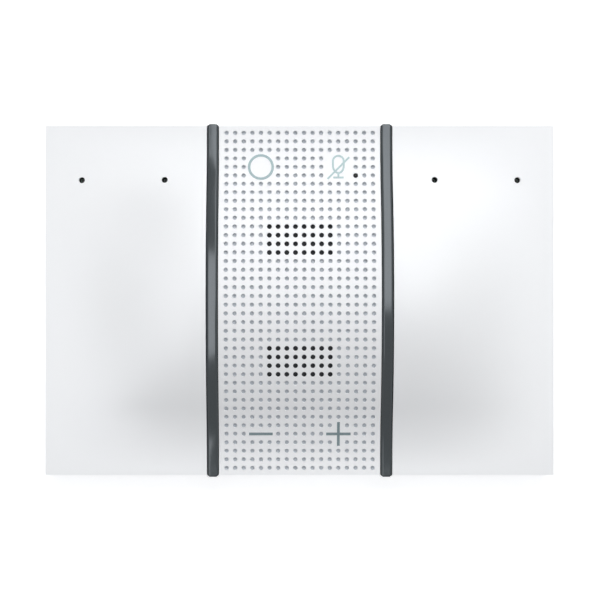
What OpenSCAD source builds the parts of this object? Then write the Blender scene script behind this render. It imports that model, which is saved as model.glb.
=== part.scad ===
// Conference speakerphone: a low rectangular table unit with a swell across its middle.
// Millimetres. X runs left to right, +Y to the back, Z up, origin on the table under the centre.

/* [Body] */
// Width of the centre panel, between the trim rails
panel_w = 56.5; // [46:0.5:70]
// Width of one wing, from its rail to the outer edge
wing_w = 56.5; // [46:0.5:70]
// Depth of the body, front to back
body_d = 122; // [112:1:150]
// Height of the flat edge above the table
edge_h = 12; // [12:0.5:15]
// Rise of the swell above the flat edge
swell_h = 12; // [11:0.5:15]
// Radius of the crown of the swell
crown_r = 95; // [80:1:115]
// Flat strip between the foot of the swell and the front or back face
apron = 2.4; // [1:0.2:6]

/* [Covers] */
// Thickness of the wing skin
skin_t = 2; // [1.6:0.1:2.4]
// Thickness of the outer walls
wall_t = 2; // [1.6:0.1:2.4]
// Thickness of the perforated grille
grille_t = 1.6; // [1.2:0.1:2]
// Gap between neighbouring covers
cover_gap = 0.15; // [0.1:0.05:0.3]

/* [Trim rails] */
// Width of a rail, seen from above
rail_w = 4; // [3.4:0.1:6]
// How far a rail stands proud of the covers
rail_proud = 0.6; // [0.3:0.1:1.2]
// Depth of the rail below its own top
rail_band = 5.6; // [4:0.1:6]

/* [Hole grid] */
// Spacing of the holes, both ways
hole_pitch = 3; // [2.6:0.1:4]
// Clear margin between the grid and the edge of the panel
grid_margin = 2.5; // [1.5:0.1:5]
// Diameter of an open hole over a loudspeaker
hole_d = 1.6; // [1:0.1:2]
// Diameter of a microphone hole
mic_hole_d = 1.9; // [1:0.1:2.4]

/* [Base] */
// Height of the rubber feet below the base
foot_h = 2; // [1.5:0.1:3]
// Diameter of a foot
foot_d = 12; // [8:0.5:16]
// Thickness of the base plate
base_t = 2.5; // [2:0.1:3]
// How far the base is set back from the covers
base_inset = 1; // [0.5:0.1:2]

/* [Loudspeakers] */
// Distance of each loudspeaker from the centre line
speaker_y = 21; // [18:0.5:24]
// Length of the flange of a driver
driver_w = 36; // [32:0.5:40]
// Width of the flange of a driver
driver_d = 21; // [19:0.5:23]
// Travel of a diaphragm, each way
diaphragm_travel = 0.8; // [0.3:0.1:1]

/* [Microphones] */
// Distance of the inner microphone from the rail
mic_inner = 14.75; // [10:0.25:20]
// Distance of the outer microphone from the outer edge
mic_outer = 12.75; // [10:0.25:20]
// Distance of the microphones from the back face
mic_back = 19; // [17:0.5:24]

/* [Icons] */
// Line width of the icons
icon_line = 0.75; // [0.5:0.05:1.2]
// Outer size of an icon
icon_size = 8.7; // [7:0.1:9]
// Depth of the icon inlays in the grille
icon_depth = 0.6; // [0.3:0.1:0.8]

/* [Hidden] */
$fn = 48;

// Plan
rail_x = panel_w / 2;                    // inner face of a rail
wing_x = rail_x + rail_w;                // outer face of a rail, where a wing begins
body_w = 2 * (wing_x + wing_w);
half_d = body_d / 2;
outer_x = body_w / 2;

// Swell: a crown arc that runs into two concave arcs, which end flat
foot_y = half_d - apron;
fillet_r = (pow(foot_y, 2) + pow(swell_h, 2)) / (2 * swell_h) - crown_r;
join_y = foot_y * crown_r / (crown_r + fillet_r);
profile_steps = 48;
wing_steps_y = 32;
wing_steps_x = 16;

// Levels
base_top = foot_h + base_t;
board_top = base_top + 3.5;
board_t = 1.2;
mic_board_t = 0.8;
boot_t = 1.5;
part_gap = 0.2;

// Hole grid, row 0 at the back and column 0 at the left
grid_cols = floor((panel_w - 2 * grid_margin) / hole_pitch) + 1;
grid_rows = floor((body_d - 2 * grid_margin) / hole_pitch) + 1;
icon_inset = 4;                          // an icon's column and row, counted from the grid's corner
open_w = 24;                             // the open window over a loudspeaker
open_d = 12;

// Loudspeaker stack, measured down the normal from the outer surface
speaker_tilt = asin(speaker_y / crown_r);
cloth_t = 0.3;
cloth_play = 0.02;
flange_t = 1;
flange_top = -4.2;
roof_level = flange_top - flange_t;
ledge = roof_level + 0.2;                // the ledge that carries the surround
basket_floor = -7.8;
basket_bottom = -8.6;
magnet_bottom = -12.6;
coil_bottom = basket_floor - 1.9 - diaphragm_travel;
chamber_w = driver_w + 6;
chamber_half_d = speaker_y + driver_d / 2 + 3.5;
chamber_wall = 1.6;
chamber_boss_in = 4;                     // from the chamber's side to its screws
chamber_boss_y = 7;                      // the screws lie between the two drivers

inlay_play = 0.03;

// Fasteners
case_screw_r = 1.25;
small_screw_r = 1;
screw_play = 0.05;
case_head_r = 2.2;
small_head_r = 1.8;
head_h = 1.2;
head_recess = 1.3;
screw_top = edge_h - 2.5;
boss_r = 3;
boss_inset = 4.75;
rail_screw_y = half_d - 2.4;
lip_t = 1.2;
lip_h = 2;

// Rigid boards
io_clear = 3.5;                          // from the panel's screw bosses to the connector board
io_w = 2 * (rail_x - boss_inset - boss_r - io_clear);
io_back = half_d - wall_t - part_gap;
io_front = chamber_half_d + 1;
usb_w = 8.94;
usb_h = 3.2;
usb_depth = 7.4;
usb_z = board_top + 0.2;
main_w = wing_w - 12;
main_x = wing_x + 3.75;
main_front = -(half_d - 15);
main_back = 30;
tab_w = 6.3;
mic_y = half_d - mic_back;
mic_board_w = wing_w - mic_inner - mic_outer + 9;
mic_board_x = wing_x + mic_inner - 4.5;
ribbon_t = 0.3;
io_ribbon_w = 5;
mic_ribbon_w = 2.4;
// The connector ribbon lies no further back than where the rail's underside clears it
rail_under = max(0, board_top + ribbon_t + 0.1 - (edge_h + rail_proud - rail_band));
under_rail_y = foot_y - sqrt(pow(fillet_r, 2) - pow(fillet_r - rail_under, 2));
io_ribbon_y = min(mic_y + 1.5, under_rail_y - io_ribbon_w / 2);
mic_ribbon_y = min(mic_y - 4.7, io_ribbon_y - (io_ribbon_w + mic_ribbon_w) / 2 - part_gap);
mic_board_front = min(mic_y - 6, mic_ribbon_y - mic_ribbon_w / 2 - 0.1);
mic_board_back = mic_y + 5;

function swell(y) =
    abs(y) <= join_y ? swell_h - crown_r + sqrt(pow(crown_r, 2) - pow(y, 2)) :
    abs(y) < foot_y ? fillet_r - sqrt(pow(fillet_r, 2) - pow(foot_y - abs(y), 2)) : 0;

// The wing fades the swell out from the rail to its outer edge
function fade(t) = (1 + cos(180 * min(max(t, 0), 1))) / 2;
function wing_top(x, y) = edge_h + swell(y) * fade((x - wing_x) / wing_w);
function col_x(c) = (c - (grid_cols - 1) / 2) * hole_pitch;
function row_y(r) = ((grid_rows - 1) / 2 - r) * hole_pitch;
function spread(a, b, n) = [for (i = [0:n]) a + (b - a) * i / n];
function over_speaker(x, y) = abs(x) <= open_w / 2 && abs(abs(y) - speaker_y) <= open_d / 2;

icon_left_x = col_x(icon_inset);
icon_right_x = col_x(grid_cols - 1 - icon_inset);
icon_back_y = row_y(icon_inset);
icon_front_y = row_y(grid_rows - 1 - icon_inset);
status_x = col_x(grid_cols - 3);
status_y = row_y(icon_inset + 1);

// ---- shared shapes ----

// Extrudes a profile drawn in Y and Z along X, centred
module along_x(width) {
    translate([-width / 2, 0, 0]) rotate([90, 0, 90]) linear_extrude(width) children();
}

// The strip between two levels that both follow the swell, in Y and Z
module swell_strip(y0, y1, top_drop, bottom_drop) {
    ys = spread(y0, y1, profile_steps);
    polygon(concat(
        [for (y = ys) [y, edge_h + swell(y) - top_drop]],
        [for (i = [profile_steps:-1:0]) [ys[i], edge_h + swell(ys[i]) - bottom_drop]]
    ));
}

// Everything under a level that follows the swell, in Y and Z
module under_swell(half, drop, bottom) {
    polygon(concat(
        [[-half, bottom]],
        [for (y = spread(-half, half, profile_steps)) [y, edge_h + swell(y) - drop]],
        [[half, bottom]]
    ));
}

// A block whose top follows the wing, closed by vertical sides and a flat bottom
module wing_block(x0, x1, y0, y1, drop, bottom) {
    nx = wing_steps_x;
    ny = wing_steps_y;
    xs = spread(x0, x1, nx);
    ys = spread(y0, y1, ny);
    tops = [for (y = ys) for (x = xs) [x, y, wing_top(x, y) - drop]];
    bottoms = [for (y = ys) for (x = [x0, x1]) [x, y, bottom]];
    row = nx + 1;
    n = len(tops);
    faces = concat(
        [for (j = [0:ny - 1]) for (i = [0:nx - 1])
            for (f = [[0, row + 1, 1], [0, row, row + 1]]) [for (k = f) j * row + i + k]],
        [for (j = [0:ny - 1]) [n + 2 * j, n + 2 * j + 1, n + 2 * j + 3, n + 2 * j + 2]],
        [for (j = [0:ny - 1]) [n + 2 * j, n + 2 * j + 2, (j + 1) * row, j * row]],
        [for (j = [0:ny - 1]) [n + 2 * j + 1, j * row + nx, (j + 1) * row + nx, n + 2 * j + 3]],
        [concat([n], [for (i = [0:nx]) i], [n + 1])],
        [concat([n + 2 * ny], [n + 2 * ny + 1], [for (i = [nx:-1:0]) ny * row + i])]
    );
    polyhedron(concat(tops, bottoms), faces);
}

module at_speaker(side) {
    mirror([0, side < 0 ? 1 : 0, 0])
        translate([0, speaker_y, edge_h + swell(speaker_y)])
            rotate([-speaker_tilt, 0, 0]) children();
}

module racetrack(length, width) {
    square([length - width, width], center = true);
    for (s = [-1, 1]) translate([s * (length - width) / 2, 0]) circle(d = width);
}

module between(z0, z1) {
    translate([0, 0, z0]) linear_extrude(z1 - z0) children();
}

// A pan-head screw, head down, with its head's lowest face at z = 0
module screw(r, head_r, length) {
    difference() {
        union() {
            cylinder(r = head_r, h = head_h);
            cylinder(r = r, h = length);
        }
        translate([0, 0, -0.1]) cylinder(r = r * 0.75, h = 0.7, $fn = 6);
    }
}

// ---- fastener places ----

module case_boss_places() {
    for (sx = [-1, 1]) for (sy = [-1, 1]) {
        for (x = [wing_x + boss_inset, outer_x - boss_inset])
            translate([sx * x, sy * (half_d - boss_inset), 0]) children();
        translate([sx * (rail_x - boss_inset), sy * (half_d - boss_inset - 2), 0]) children();
    }
}

module wing_boss_places() {
    for (sy = [-1, 1]) for (x = [wing_x + boss_inset, outer_x - boss_inset])
        translate([x, sy * (half_d - boss_inset), 0]) children();
}

module panel_boss_places() {
    for (sx = [-1, 1]) for (sy = [-1, 1])
        translate([sx * (rail_x - boss_inset), sy * (half_d - boss_inset - 2), 0]) children();
}

module rail_screw_places() {
    for (sx = [-1, 1]) for (sy = [-1, 1])
        translate([sx * (rail_x + rail_w / 2), sy * rail_screw_y, 0]) children();
}

module chamber_screw_places() {
    for (sx = [-1, 1]) for (sy = [-1, 1])
        translate([sx * (chamber_w / 2 - chamber_boss_in), sy * chamber_boss_y, 0]) children();
}

module main_board_places() {
    for (x = [main_x + 4, main_x + main_w - 4]) for (y = [main_front + 4, main_back - 4])
        translate([x, y, 0]) children();
}

module io_board_places() {
    for (sx = [-1, 1]) translate([sx * (io_w / 2 - 3.5), io_ribbon_y + io_ribbon_w / 2 + 4, 0]) children();
}

module foot_places(sx, sy) {
    translate([sx * (outer_x - 10.75), sy * (half_d - 14), 0]) children();
}

// ---- base ----

module lip() {
    lip_x = outer_x - wall_t - part_gap;
    lip_y = half_d - wall_t - part_gap;
    difference() {
        translate([0, 0, base_top + lip_h / 2]) difference() {
            cube([2 * lip_x, 2 * lip_y, lip_h], center = true);
            cube([2 * (lip_x - lip_t), 2 * (lip_y - lip_t), lip_h + 1], center = true);
        }
        for (sx = [-1, 1])
            translate([sx * (rail_x + rail_w / 2), 0, base_top + lip_h / 2])
                cube([rail_w + 1, body_d, lip_h + 1], center = true);
        translate([0, half_d, base_top + lip_h / 2]) cube([io_w + 2, 12, lip_h + 1], center = true);
        case_boss_places() translate([0, 0, base_top - 0.5])
            cylinder(r = boss_r + part_gap, h = lip_h + 1);
    }
}

module standoff(r) {
    translate([0, 0, base_top - 0.5]) cylinder(r = r, h = board_top - board_t - base_top + 0.5);
}

module base_plate() {
    color("gainsboro") difference() {
        union() {
            translate([0, 0, foot_h + base_t / 2])
                cube([body_w - 2 * base_inset, body_d - 2 * base_inset, base_t], center = true);
            lip();
            main_board_places() standoff(2.6);
            io_board_places() standoff(2.4);
        }
        case_boss_places() {
            translate([0, 0, foot_h - 0.5]) cylinder(r = case_head_r + part_gap, h = head_recess + 0.5);
            translate([0, 0, foot_h]) cylinder(r = case_screw_r + 0.1, h = base_t + 1);
        }
        rail_screw_places() small_screw_hole();
        chamber_screw_places() small_screw_hole();
        for (sx = [-1, 1]) for (sy = [-1, 1]) foot_places(sx, sy)
            translate([0, 0, foot_h - 0.5]) cylinder(d = foot_d + 2 * part_gap, h = 1);
        main_board_places() board_pilot();
        io_board_places() board_pilot();
    }
}

module small_screw_hole() {
    translate([0, 0, foot_h - 0.5]) cylinder(r = small_head_r + part_gap, h = head_recess + 0.5);
    translate([0, 0, foot_h]) cylinder(r = small_screw_r + 0.1, h = base_t + 1);
}

module board_pilot() {
    translate([0, 0, base_top - 0.8]) cylinder(r = small_screw_r + screw_play, h = board_top - base_top);
}

module foot(sx, sy) {
    color("dimgray") foot_places(sx, sy) difference() {
        cylinder(d = foot_d, h = foot_h + 0.5);
        translate([0, 0, -0.1]) cylinder(d = foot_d / 2, h = 0.5);
    }
}

// ---- covers ----

module wing_cover() {
    well_bottom = board_top + boot_t;
    difference() {
        union() {
            difference() {
                wing_block(wing_x + cover_gap, outer_x, -half_d, half_d, 0, base_top);
                wing_block(wing_x - 1, outer_x - wall_t, wall_t - half_d, half_d - wall_t,
                    skin_t, base_top - 1);
            }
            wing_boss_places() translate([0, 0, base_top])
                cylinder(r = boss_r, h = edge_h - skin_t / 2 - base_top);
            for (x = mic_places()) translate([x, mic_y, well_bottom])
                cylinder(r = 4, h = wing_top(x, mic_y) - skin_t / 2 - well_bottom);
            translate([mic_screw_x(), mic_y, board_top])
                cylinder(r = 2.6, h = wing_top(mic_screw_x(), mic_y) - skin_t / 2 - board_top);
        }
        wing_boss_places() pilot(case_screw_r);
        for (x = mic_places()) translate([x, mic_y, well_bottom - 1]) cylinder(d = mic_hole_d, h = 20);
        translate([mic_screw_x(), mic_y, board_top - 1])
            cylinder(r = small_screw_r + screw_play, h = 4.4);
    }
}

function mic_places() = [wing_x + mic_inner, outer_x - mic_outer];
function mic_screw_x() = (wing_x + mic_inner + outer_x - mic_outer) / 2;

module pilot(r) {
    translate([0, 0, base_top - 1]) cylinder(r = r + screw_play, h = screw_top + 0.4 - base_top + 1);
}

module right_wing_cover() {
    color("white") wing_cover();
}

module left_wing_cover() {
    color("white") mirror([1, 0, 0]) wing_cover();
}

module centre_grille() {
    width = panel_w - 2 * cover_gap;
    color("white") difference() {
        union() {
            difference() {
                along_x(width) under_swell(half_d, 0, base_top);
                along_x(width + 2) under_swell(half_d - wall_t, grille_t, base_top - 1);
            }
            panel_boss_places() translate([0, 0, base_top])
                cylinder(r = boss_r, h = edge_h - grille_t / 2 - base_top);
        }
        for (c = [0:grid_cols - 1]) for (r = [0:grid_rows - 1])
            if (over_speaker(col_x(c), row_y(r)))
                translate([col_x(c), row_y(r), edge_h]) cylinder(d = hole_d, h = swell_h + 1);
        translate([status_x, status_y, edge_h - grille_t]) cylinder(d = hole_d, h = swell_h);
        panel_boss_places() pilot(case_screw_r);
        icon_pocket(icon_left_x, icon_back_y) ring_icon(0);
        icon_pocket(icon_right_x, icon_back_y) mute_icon(0);
        icon_pocket(icon_left_x, icon_front_y) minus_icon(0);
        icon_pocket(icon_right_x, icon_front_y) plus_icon(0);
        usb_opening();
    }
}

module usb_opening() {
    translate([0, half_d + 1, usb_z]) rotate([90, 0, 0])
        linear_extrude(wall_t + 3) racetrack(usb_w + 0.5, usb_h + 0.5);
}

module rail() {
    yo = half_d + rail_proud;
    yi = half_d - rail_band + rail_proud;
    color("dimgray") difference() {
        along_x(rail_w) difference() {
            under_swell(yo, -rail_proud, base_top);
            under_swell(yi, rail_band - rail_proud, base_top - 1);
        }
        for (sy = [-1, 1]) translate([0, sy * rail_screw_y, base_top - 1])
            cylinder(r = small_screw_r + screw_play, h = screw_top + 0.4 - base_top + 1);
    }
}

module left_trim_rail() {
    translate([-(rail_x + rail_w / 2), 0, 0]) rail();
}

module right_trim_rail() {
    translate([rail_x + rail_w / 2, 0, 0]) rail();
}

module case_screws() {
    color("silver") case_boss_places() translate([0, 0, foot_h + head_recess - head_h])
        screw(case_screw_r, case_head_r, screw_top - foot_h);
}

module rail_screws() {
    color("silver") rail_screw_places() translate([0, 0, foot_h + head_recess - head_h])
        screw(small_screw_r, small_head_r, screw_top - foot_h);
}

// ---- icons ----

// Each outline is drawn smaller all round by play, which is 0 for the pocket in the grille

module ring_icon(play) {
    difference() {
        circle(d = icon_size - 2 * play);
        circle(d = icon_size - 2 * icon_line + 2 * play);
    }
}

module minus_icon(play) {
    square([icon_size - 0.5 - 2 * play, icon_line - 2 * play], center = true);
}

module plus_icon(play) {
    square([icon_size - 2 * play, icon_line - 2 * play], center = true);
    square([icon_line - 2 * play, icon_size - 2 * play], center = true);
}

// A microphone crossed out: capsule outline, stem, foot and slash
module mute_icon(play) {
    line = icon_line - 2 * play;
    cap_w = icon_size * 0.5;
    cap_h = icon_size * 0.75;
    translate([0, icon_size * 0.09]) {
        difference() {
            rotate(90) racetrack(cap_h - 2 * play, cap_w - 2 * play);
            rotate(90) racetrack(cap_h - 2 * icon_line + 2 * play, cap_w - 2 * icon_line + 2 * play);
        }
        translate([0, -cap_h / 2 - icon_line * 0.6]) square([line, icon_line * 2], center = true);
        translate([0, -cap_h / 2 - icon_line * 1.7])
            square([cap_w * 0.85 - 2 * play, line], center = true);
    }
    rotate(45) square([icon_size * 1.2 - 2 * play, line], center = true);
}

module icon_column(x, y) {
    translate([x, y, edge_h - grille_t]) linear_extrude(swell_h + 4) children();
}

module icon_inlay(x, y) {
    color("cadetblue") intersection() {
        icon_column(x, y) children();
        along_x(panel_w) swell_strip(y - icon_size, y + icon_size > half_d ? half_d : y + icon_size,
            0, icon_depth);
    }
}

module icon_pocket(x, y) {
    intersection() {
        icon_column(x, y) children();
        along_x(panel_w) swell_strip(y - icon_size, y + icon_size > half_d ? half_d : y + icon_size,
            -1, icon_depth);
    }
}

module call_ring_inlay() {
    icon_inlay(icon_left_x, icon_back_y) ring_icon(inlay_play);
}

module mute_icon_inlay() {
    icon_inlay(icon_right_x, icon_back_y) mute_icon(inlay_play);
}

module volume_down_inlay() {
    icon_inlay(icon_left_x, icon_front_y) minus_icon(inlay_play);
}

module volume_up_inlay() {
    icon_inlay(icon_right_x, icon_front_y) plus_icon(inlay_play);
}

// ---- touch films, lens and indicator ----

film_t = 0.3;
film_in = max(40, join_y);               // on the swell's concave skirt
film_out = half_d - boss_inset - 2 - boss_r - part_gap;
film_w = 2 * (rail_x - boss_inset - 1.5);

module touch_film() {
    color("peru") along_x(film_w) swell_strip(film_in, film_out, grille_t, grille_t + film_t);
}

module rear_touch_film() {
    touch_film();
}

module front_touch_film() {
    mirror([0, 1, 0]) touch_film();
}

module status_lens() {
    color("black") intersection() {
        translate([status_x, status_y, edge_h - grille_t]) cylinder(d = hole_d - 0.1, h = swell_h);
        along_x(panel_w) swell_strip(status_y - 3, status_y + 3, 0.1, grille_t);
    }
}

module status_led() {
    top = edge_h + swell(status_y + 0.5) - grille_t - film_t;
    color("ivory") translate([status_x - 0.8, status_y - 0.4, top - 0.7]) cube([1.6, 0.8, 0.6]);
}

module rear_touch_tail() {
    tail_y = film_in + 1;
    top = edge_h + swell(tail_y + film_t) - grille_t - film_t;
    color("peru") translate([io_w / 2 - 21, tail_y, board_top]) cube([8, film_t, top - board_top]);
}

module front_touch_tail() {
    tail_y = -min(film_in + 3, under_rail_y - 2.5);
    tail_x = film_w / 2 - 2;
    top = edge_h + swell(tail_y) - grille_t - film_t - 0.1;
    color("peru") {
        translate([tail_x, tail_y - 2.5, board_top]) cube([main_x + 1.6 - tail_x, 5, ribbon_t]);
        translate([tail_x, tail_y - 2.5, board_top]) cube([ribbon_t, 5, top - board_top - 0.6]);
    }
}

// ---- loudspeakers ----

// Level of the chamber's roof above the table, at a distance y from the centre line
function roof_z(y) = edge_h + swell(speaker_y)
    + (roof_level - (abs(y) - speaker_y) * sin(speaker_tilt)) / cos(speaker_tilt);

module roof_profile(half, drop, bottom) {
    polygon([
        [-half, bottom], [-half, roof_z(half) - drop], [0, roof_z(0) - drop],
        [half, roof_z(half) - drop], [half, bottom]
    ]);
}

module speaker_chamber() {
    wall_drop = chamber_wall / cos(speaker_tilt);
    color("darkslategray") difference() {
        union() {
            difference() {
                along_x(chamber_w) roof_profile(chamber_half_d, 0, base_top);
                along_x(chamber_w - 2 * chamber_wall)
                    roof_profile(chamber_half_d - chamber_wall, wall_drop, base_top - 1);
            }
            chamber_screw_places() translate([0, 0, base_top])
                cylinder(r = chamber_boss_in - chamber_wall + part_gap,
                    h = roof_z(chamber_boss_y + 3) - base_top - wall_drop / 2);
        }
        for (side = [-1, 1]) at_speaker(side)
            translate([0, 0, roof_level - 2]) linear_extrude(4)
                square([driver_w - 3, driver_d - 2.6], center = true);
        chamber_screw_places() translate([0, 0, base_top - 1])
            cylinder(r = small_screw_r + screw_play, h = 6);
    }
}

module chamber_screws() {
    color("silver") chamber_screw_places() translate([0, 0, foot_h + head_recess - head_h])
        screw(small_screw_r, small_head_r, base_top + 4 - foot_h);
}

module speaker_cloth(side) {
    half = driver_d / 2 - 1;
    color("black") mirror([0, side < 0 ? 1 : 0, 0]) along_x(driver_w - 2)
        swell_strip(speaker_y - half, speaker_y + half, grille_t + cloth_play, grille_t + cloth_t);
}

module speaker_gasket(side) {
    color("gray") intersection() {
        at_speaker(side) between(flange_top, 2) difference() {
            square([driver_w, driver_d], center = true);
            square([driver_w - 4.6, driver_d - 3.6], center = true);
        }
        along_x(body_w) under_swell(half_d - 1, grille_t + cloth_t, base_top);
    }
}

// The racetrack outlines of a driver, from the flange inwards
pocket = [driver_w - 4.8, driver_d - 3.8];
cavity = [driver_w - 7, driver_d - 6];
cone_size = [driver_w - 9.6, driver_d - 8.6];
lip_in = [driver_w - 11.2, driver_d - 10.2];
yoke_r = (driver_d - 3.8) / 2;
pole_r = yoke_r - 3;
coil_r = pole_r + 0.4;
coil_t = 0.6;

module driver_basket(side) {
    color("dimgray") at_speaker(side) difference() {
        union() {
            between(roof_level, flange_top) square([driver_w, driver_d], center = true);
            between(basket_bottom, roof_level) square([driver_w - 3.4, driver_d - 3], center = true);
        }
        between(ledge, 0) racetrack(pocket[0], pocket[1]);
        between(basket_floor, 0) racetrack(cavity[0], cavity[1]);
        between(basket_bottom - 1, 0) circle(r = coil_r + coil_t + 0.5);
        for (s = [-1, 1]) between(basket_bottom - 1, 0)
            translate([s * (cavity[0] / 2 - 2.6), 0]) square([2.4, cavity[1] - 7], center = true);
    }
}

module driver_magnet(side) {
    color("silver") at_speaker(side) {
        difference() {
            between(magnet_bottom, basket_bottom) circle(r = yoke_r);
            between(magnet_bottom + 1, basket_bottom + 1) circle(r = coil_r + coil_t + 0.5);
        }
        between(magnet_bottom + 1, basket_floor - 0.2) circle(r = pole_r);
    }
}

module driver_surround(side) {
    color("black") at_speaker(side) difference() {
        union() {
            between(ledge, ledge + 0.3) racetrack(pocket[0] - 0.2, pocket[1] - 0.2);
            between(ledge, ledge + 1) racetrack(cavity[0] - 0.1, cavity[1] - 0.1);
        }
        between(ledge - 1, ledge + 2) racetrack(lip_in[0], lip_in[1]);
        between(ledge + 0.3, ledge + 2) racetrack(cone_size[0] + 0.4, cone_size[1] + 0.4);
        between(ledge - 1, ledge + 0.7) difference() {
            racetrack(cavity[0] - 0.7, cavity[1] - 0.7);
            racetrack(cone_size[0] + 1, cone_size[1] + 1);
        }
    }
}

module driver_cone(side) {
    cap_r = coil_r - 0.5;
    cap_h = 0.9;
    cap_sphere_r = (pow(cap_r, 2) + pow(cap_h, 2)) / (2 * cap_h);
    color("darkgray") at_speaker(side) {
        between(ledge - 0.6, ledge) racetrack(cone_size[0], cone_size[1]);
        between(ledge - 1.4, ledge - 0.5) difference() {
            circle(r = coil_r + coil_t);
            circle(r = coil_r);
        }
        intersection() {
            translate([0, 0, ledge + cap_h - cap_sphere_r]) sphere(r = cap_sphere_r);
            between(ledge - 0.2, ledge + 2) circle(r = coil_r);
        }
    }
}

module voice_coil(side) {
    color("chocolate") at_speaker(side) between(coil_bottom, ledge - 1.4) difference() {
        circle(r = coil_r + coil_t);
        circle(r = coil_r);
    }
}

// ---- boards ----

module main_board() {
    color("seagreen") difference() {
        between(board_top - board_t, board_top) {
            translate([main_x, main_front]) square([main_w, main_back - main_front]);
            translate([main_x - 1, main_back - 6]) square([tab_w, mic_board_back - main_back + 6]);
        }
        main_board_places() translate([0, 0, base_top]) cylinder(r = small_screw_r + 0.15, h = 8);
    }
    color("black") for (at = [[12, 20, 7, 7], [30, 34, 9, 9], [30, 12, 6, 5]])
        translate([main_x + at[0], main_front + at[1], board_top]) cube([at[2], at[3], 1]);
}

module board_shield() {
    color("silver") translate([main_x + 9, main_front + 44, board_top]) difference() {
        cube([26, 22, 1.7]);
        translate([0.3, 0.3, -0.1]) cube([25.4, 21.4, 1.5]);
    }
}

module board_screws() {
    color("silver") {
        main_board_places() board_screw();
        io_board_places() board_screw();
    }
}

module board_screw() {
    translate([0, 0, board_top + head_h]) mirror([0, 0, 1])
        screw(small_screw_r, small_head_r, head_h + board_t + 2.6);
}

module io_board() {
    color("seagreen") difference() {
        between(board_top - board_t, board_top)
            translate([-io_w / 2, io_front]) square([io_w, io_back - io_front]);
        translate([-usb_w / 2 - 0.05, io_back - usb_depth + 1.5, base_top]) cube([usb_w + 0.1, 20, 10]);
        io_board_places() translate([0, 0, base_top]) cylinder(r = small_screw_r + 0.15, h = 8);
    }
    color("black") translate([io_w / 2 - 11, io_front + 2, board_top]) cube([5, 5, 0.9]);
}

// A mid-mount receptacle that sinks into the board, with a tongue in an open shell
module usb_c_receptacle() {
    y1 = half_d - 0.5;
    y0 = io_back - usb_depth + 1.6;
    color("silver") {
        difference() {
            translate([0, y1, usb_z]) rotate([90, 0, 0])
                linear_extrude(y1 - y0) racetrack(usb_w, usb_h);
            translate([0, y1 + 1, usb_z]) rotate([90, 0, 0])
                linear_extrude(y1 - y0) racetrack(usb_w - 0.6, usb_h - 0.6);
        }
        for (s = [-1, 1]) translate([s * (usb_w / 2 + 0.7) - 1, y0 + 0.6, board_top]) cube([2, 2, 0.3]);
    }
    color("black") translate([-3.3, y0 + 0.5, usb_z - 0.35]) cube([6.6, y1 - y0 - 1.5, 0.7]);
}

module mic_board() {
    color("seagreen") difference() {
        between(board_top - mic_board_t, board_top)
            translate([mic_board_x, mic_board_front])
                square([mic_board_w, mic_board_back - mic_board_front]);
        for (x = mic_places()) translate([x, mic_y, base_top]) cylinder(r = 0.5, h = 8);
        translate([mic_screw_x(), mic_y, base_top]) cylinder(r = small_screw_r + 0.15, h = 8);
    }
}

module right_mic_board() {
    mic_board();
}

module left_mic_board() {
    mirror([1, 0, 0]) mic_board();
}

module mic_boots() {
    color("black") for (x = mic_places()) translate([x, mic_y, board_top]) difference() {
        cylinder(r = 3.4, h = boot_t);
        translate([0, 0, -1]) cylinder(r = 0.6, h = boot_t + 2);
    }
}

module right_mic_boots() {
    mic_boots();
}

module left_mic_boots() {
    mirror([1, 0, 0]) mic_boots();
}

module mic_capsules() {
    color("gold") for (sx = [-1, 1]) for (x = mic_places())
        translate([sx * x - 1.75, mic_y - 1.3, board_top - mic_board_t - 1]) cube([3.5, 2.6, 1]);
}

module mic_board_screws() {
    color("silver") for (sx = [-1, 1])
        translate([sx * mic_screw_x(), mic_y, board_top - mic_board_t - head_h])
            screw(small_screw_r, small_head_r, head_h + mic_board_t + 3);
}

module battery_pack() {
    color("silver") translate([-main_x - main_w, main_front, base_top + 0.5])
        cube([main_w, 64, 3.9]);
    color("gold") translate([-main_x - main_w / 2 - 5, main_front + 64, base_top + 1.5]) cube([10, 3, 1.5]);
}

module battery_pad() {
    color("white") translate([-main_x - main_w + 4, main_front + 4, base_top])
        cube([main_w - 8, 56, 0.5]);
}

module flat_ribbon(x0, x1, y, width) {
    color("whitesmoke") translate([x0, y - width / 2, board_top]) cube([x1 - x0, width, ribbon_t]);
}

module io_ribbon() {
    flat_ribbon(io_w / 2 - 4, main_x + tab_w - 2.5, io_ribbon_y, io_ribbon_w);
}

module right_mic_ribbon() {
    flat_ribbon(main_x + tab_w - 3.5, mic_board_x + 3.5, mic_ribbon_y, mic_ribbon_w);
}

module left_mic_ribbon() {
    flat_ribbon(-mic_board_x - 3.5, -io_w / 2 + 3, mic_ribbon_y, mic_ribbon_w);
}

base_plate();
foot(-1, -1);  // foot_front_left
foot(1, -1);  // foot_front_right
foot(-1, 1);  // foot_rear_left
foot(1, 1);  // foot_rear_right
left_wing_cover();
right_wing_cover();
centre_grille();
left_trim_rail();
right_trim_rail();
case_screws();
rail_screws();
call_ring_inlay();
mute_icon_inlay();
volume_down_inlay();
volume_up_inlay();
status_lens();
status_led();
rear_touch_film();
front_touch_film();
rear_touch_tail();
front_touch_tail();
speaker_chamber();
chamber_screws();
speaker_cloth(1);  // rear_speaker_cloth
speaker_cloth(-1);  // front_speaker_cloth
speaker_gasket(1);  // rear_speaker_gasket
speaker_gasket(-1);  // front_speaker_gasket
driver_basket(1);  // rear_driver_basket
driver_basket(-1);  // front_driver_basket
driver_magnet(1);  // rear_driver_magnet
driver_magnet(-1);  // front_driver_magnet
driver_surround(1);  // rear_driver_surround
driver_surround(-1);  // front_driver_surround
driver_cone(1);  // rear_driver_cone
driver_cone(-1);  // front_driver_cone
voice_coil(1);  // rear_voice_coil
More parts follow.
